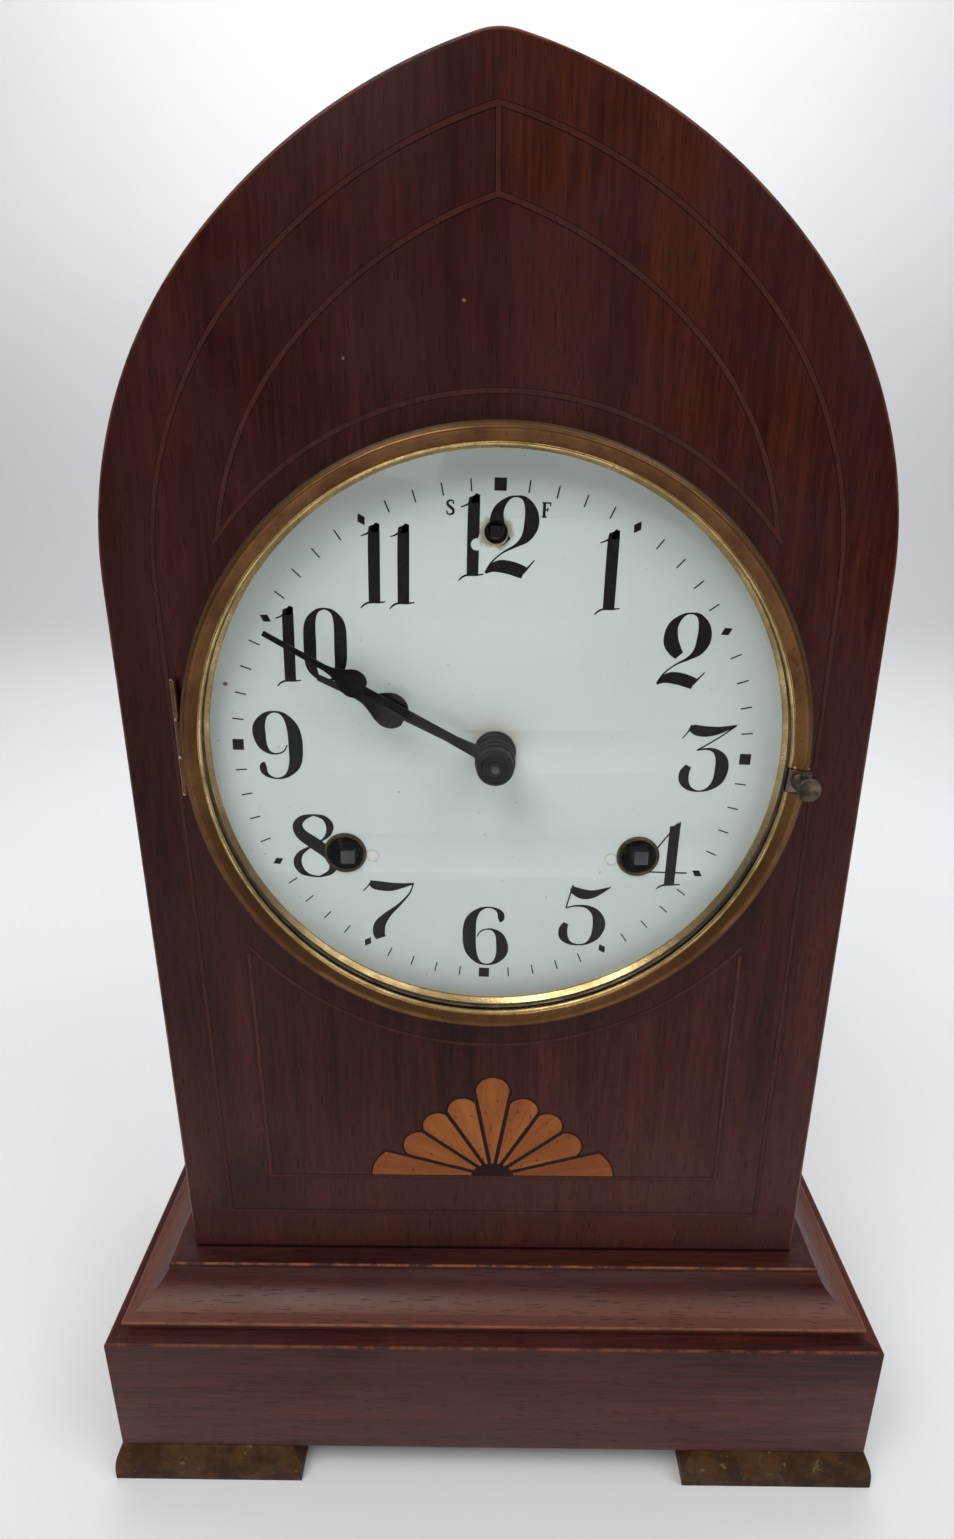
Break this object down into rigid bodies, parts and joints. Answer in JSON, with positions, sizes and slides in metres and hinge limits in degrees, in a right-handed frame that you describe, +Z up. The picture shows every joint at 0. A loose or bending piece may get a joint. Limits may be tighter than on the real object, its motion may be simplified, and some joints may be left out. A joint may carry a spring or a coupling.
{
  "type": "mantel clock",
  "caption": "Lancet-arched mahogany mantel clock with hinged brass bezel, enamel dial, fan inlay, moulded base on brass bracket feet, pendulum movement and coiled gong.",
  "frame": {"origin": "on the floor under the middle of the overall box, feet standing on z = 0", "axes": "+Z up the case, the dial faces -Y, +X to the right of someone facing the dial"},
  "size_m": [0.2242, 0.128, 0.3627],
  "materials": {
    "mahogany": "worn french polish",
    "backwood": "oiled, unpolished",
    "satinwood": "polished inlay",
    "aged_brass": "brown patina",
    "brass": "satin",
    "glass": "clear, convex",
    "enamel": "white enamel, slightly yellowed",
    "blued_steel": "blued, nearly black",
    "steel": "turned",
    "spring_steel": "hardened",
    "iron": "black"
  },
  "bodies": {
    "case": {"front_panel": "mahogany", "fan_inlay": "satinwood", "side_rim_left": "mahogany", "side_rim_right": "mahogany", "back_panel": "backwood", "turn_button_screw": "brass", "back_hinge_frame_leaf": "brass", "back_hinge_pin": "steel", "base_moulding": "mahogany", "plinth_front": "mahogany", "plinth_left": "mahogany", "plinth_right": "mahogany", "plinth_back": "mahogany", "foot_front_left": "aged_brass", "foot_front_right": "aged_brass", "foot_rear_left": "aged_brass", "foot_rear_right": "aged_brass", "dial_plate": "enamel", "time_grommet": "brass", "strike_grommet": "brass", "sight_ring": "brass", "bezel_hinge_case_leaf": "aged_brass", "bezel_hinge_pin": "steel", "movement_front_plate": "brass", "movement_back_plate": "brass", "time_mainspring": "spring_steel", "strike_mainspring": "spring_steel", "gong": "spring_steel", "gong_stand": "iron"},
    "bezel_door": {"bezel": "aged_brass", "bezel_glass": "glass", "glass_retainer": "brass", "bezel_knob": "aged_brass", "bezel_hinge_tab": "aged_brass"},
    "rear_door": {"back_door": "backwood", "back_door_knob": "brass", "back_hinge_door_leaf": "brass"},
    "turn_button": {"turn_button": "brass"},
    "minute_train": {"centre_arbor": "brass", "minute_hand": "blued_steel", "hand_nut": "blued_steel"},
    "hour_train": {"hour_wheel": "brass", "hour_hand": "blued_steel"},
    "minute_wheel": {"minute_wheel": "brass"},
    "time_second": {"time_second_wheel": "brass"},
    "time_great": {"time_great_wheel": "brass"},
    "time_third": {"time_third_wheel": "brass"},
    "escape": {"escape_wheel": "brass"},
    "time_winding": {"time_winding_arbor": "steel"},
    "strike_winding": {"strike_winding_arbor": "steel"},
    "strike_great": {"strike_great_wheel": "brass"},
    "strike_second": {"strike_second_wheel": "brass"},
    "strike_third": {"strike_third_wheel": "brass"},
    "fly": {"strike_fly": "brass"},
    "hammer": {"hammer": "steel"},
    "verge": {"verge_and_crutch": "steel"},
    "regulator": {"regulator_arbor": "steel"},
    "slider": {"suspension_slider": "brass"},
    "pendulum": {"pendulum_rod": "steel", "pendulum_bob": "brass"}
  },
  "joints": [
    {"name": "bezel_hinge", "type": "hinge", "parent": "case", "child": "bezel_door", "pos_m": [-0.0751, -0.04245, 0.225], "axis": [0, 0, -1], "range_deg": [0, 110]},
    {"name": "back_door_hinge", "type": "hinge", "parent": "case", "child": "rear_door", "pos_m": [-0.048, 0.05795, 0.15], "axis": [0, 0, 1], "range_deg": [0, 110]},
    {"name": "turn_button_pivot", "type": "hinge", "parent": "case", "child": "turn_button", "pos_m": [0.055, 0.05635, 0.15], "axis": [0, 1, 0], "range_deg": [0, 90]},
    {"name": "time_great_axis", "type": "hinge", "parent": "case", "child": "time_great", "pos_m": [0.0365, -0.00595, 0.194], "axis": [0, 1, 0], "continuous": true},
    {"name": "minute_axis", "type": "hinge", "parent": "case", "child": "minute_train", "pos_m": [0, -0.00595, 0.221], "axis": [0, 1, 0], "continuous": true},
    {"name": "hour_axis", "type": "hinge", "parent": "case", "child": "hour_train", "pos_m": [0, -0.00595, 0.221], "axis": [0, 1, 0], "continuous": true},
    {"name": "minute_wheel_axis", "type": "hinge", "parent": "case", "child": "minute_wheel", "pos_m": [0.0104, -0.00595, 0.20299], "axis": [0, 1, 0], "continuous": true},
    {"name": "time_second_axis", "type": "hinge", "parent": "case", "child": "time_second", "pos_m": [0.02699, -0.00595, 0.22182], "axis": [0, 1, 0], "continuous": true},
    {"name": "time_third_axis", "type": "hinge", "parent": "case", "child": "time_third", "pos_m": [-0.0122, -0.00595, 0.24441], "axis": [0, 1, 0], "continuous": true},
    {"name": "escape_axis", "type": "hinge", "parent": "case", "child": "escape", "pos_m": [0.012, -0.00595, 0.251], "axis": [0, 1, 0], "continuous": true},
    {"name": "time_winding_axis", "type": "hinge", "parent": "case", "child": "time_winding", "pos_m": [0.0365, -0.00595, 0.194], "axis": [0, 1, 0], "continuous": true},
    {"name": "strike_winding_axis", "type": "hinge", "parent": "case", "child": "strike_winding", "pos_m": [-0.0365, -0.00595, 0.194], "axis": [0, 1, 0], "continuous": true},
    {"name": "strike_great_axis", "type": "hinge", "parent": "case", "child": "strike_great", "pos_m": [-0.0365, -0.00595, 0.194], "axis": [0, 1, 0], "continuous": true},
    {"name": "strike_second_axis", "type": "hinge", "parent": "case", "child": "strike_second", "pos_m": [-0.0365, -0.00595, 0.2234], "axis": [0, 1, 0], "continuous": true},
    {"name": "strike_third_axis", "type": "hinge", "parent": "case", "child": "strike_third", "pos_m": [-0.03978, -0.00595, 0.24201], "axis": [0, 1, 0], "continuous": true},
    {"name": "fly_axis", "type": "hinge", "parent": "case", "child": "fly", "pos_m": [-0.03978, -0.00595, 0.26091], "axis": [0, 1, 0], "continuous": true},
    {"name": "hammer_lift", "type": "hinge", "parent": "case", "child": "hammer", "pos_m": [-0.014, -0.00595, 0.169], "axis": [0, 1, 0], "range_deg": [0, 20]},
    {"name": "regulator_axis", "type": "hinge", "parent": "case", "child": "regulator", "pos_m": [0, -0.00595, 0.272], "axis": [0, 1, 0], "range_deg": [-45, 45]},
    {"name": "suspension_slide", "type": "slide", "parent": "case", "child": "slider", "axis": [0, 0, 1], "range_m": [-0.0015, 0.0015]},
    {"name": "pendulum_swing", "type": "hinge", "parent": "slider", "child": "pendulum", "pos_m": [0, 0.02545, 0.265], "axis": [0, 1, 0], "range_deg": [-4.5, 4.5]},
    {"name": "verge_rock", "type": "hinge", "parent": "case", "child": "verge", "pos_m": [0, 0.0206, 0.261], "axis": [0, 1, 0], "range_deg": [-5, 5]}
  ],
  "couplings": [
    {"joint": "hour_axis", "follows": "minute_axis", "ratio": 0.083333},
    {"joint": "minute_wheel_axis", "follows": "minute_axis", "ratio": -0.33333},
    {"joint": "time_second_axis", "follows": "minute_axis", "ratio": -0.5},
    {"joint": "time_great_axis", "follows": "minute_axis", "ratio": 0.083333},
    {"joint": "time_third_axis", "follows": "minute_axis", "ratio": -10},
    {"joint": "escape_axis", "follows": "minute_axis", "ratio": 100},
    {"joint": "strike_second_axis", "follows": "strike_great_axis", "ratio": -6},
    {"joint": "strike_third_axis", "follows": "strike_great_axis", "ratio": 36},
    {"joint": "fly_axis", "follows": "strike_great_axis", "ratio": -216},
    {"joint": "regulator_axis", "follows": "suspension_slide", "rad_per_m": -500},
    {"joint": "verge_rock", "follows": "pendulum_swing", "ratio": 1.1111}
  ]
}
